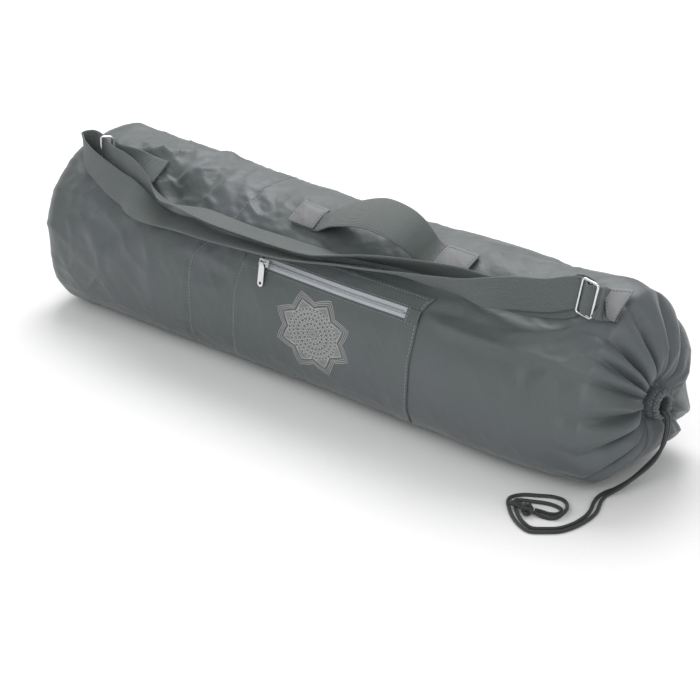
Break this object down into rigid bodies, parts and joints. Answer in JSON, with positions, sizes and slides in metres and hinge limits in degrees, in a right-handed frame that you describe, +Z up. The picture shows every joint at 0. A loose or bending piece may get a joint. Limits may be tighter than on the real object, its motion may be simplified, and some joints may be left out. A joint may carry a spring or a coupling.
{
  "type": "yoga mat bag",
  "caption": "Soft tubular carry bag for a rolled exercise mat, with a drawstring mouth, zipped front pocket, carry handle and adjustable shoulder strap.",
  "frame": {"origin": "under the middle of the tube, on the surface that the bag lies on", "axes": "+X to the drawstring mouth, -Y to the pocket side, +Z up"},
  "size_m": [0.7351, 0.2379, 0.208],
  "materials": {
    "cloth": "satin nylon",
    "patch_cloth": "satin coated cloth",
    "webbing": "ribbed webbing",
    "zip_tape": "woven tape",
    "metal": "polished nickel",
    "cord": "matte braid"
  },
  "bodies": {
    "bag": {"bag_body": "cloth", "pocket_band": "cloth", "pocket_panel": "cloth", "zip_tape_upper": "zip_tape", "zip_tape_lower": "zip_tape", "zip_coil": "zip_tape", "zip_slider": "metal", "carry_handle": "webbing", "handle_patch_left": "patch_cloth", "handle_patch_right": "patch_cloth", "shoulder_strap": "webbing", "strap_patch": "patch_cloth", "strap_buckle": "metal", "strap_ring": "metal", "strap_tab": "webbing", "drawcord_strand_a": "cord", "drawcord_strand_b": "cord", "drawcord_knot": "cord"},
    "zip_pull": {"zip_pull": "metal"}
  },
  "joints": [
    {"name": "zip_pull_hinge", "type": "hinge", "parent": "bag", "child": "zip_pull", "pos_m": [-0.04137, -0.07902, 0.13], "axis": [-1, 0, 0], "range_deg": [0, 95]}
  ]
}
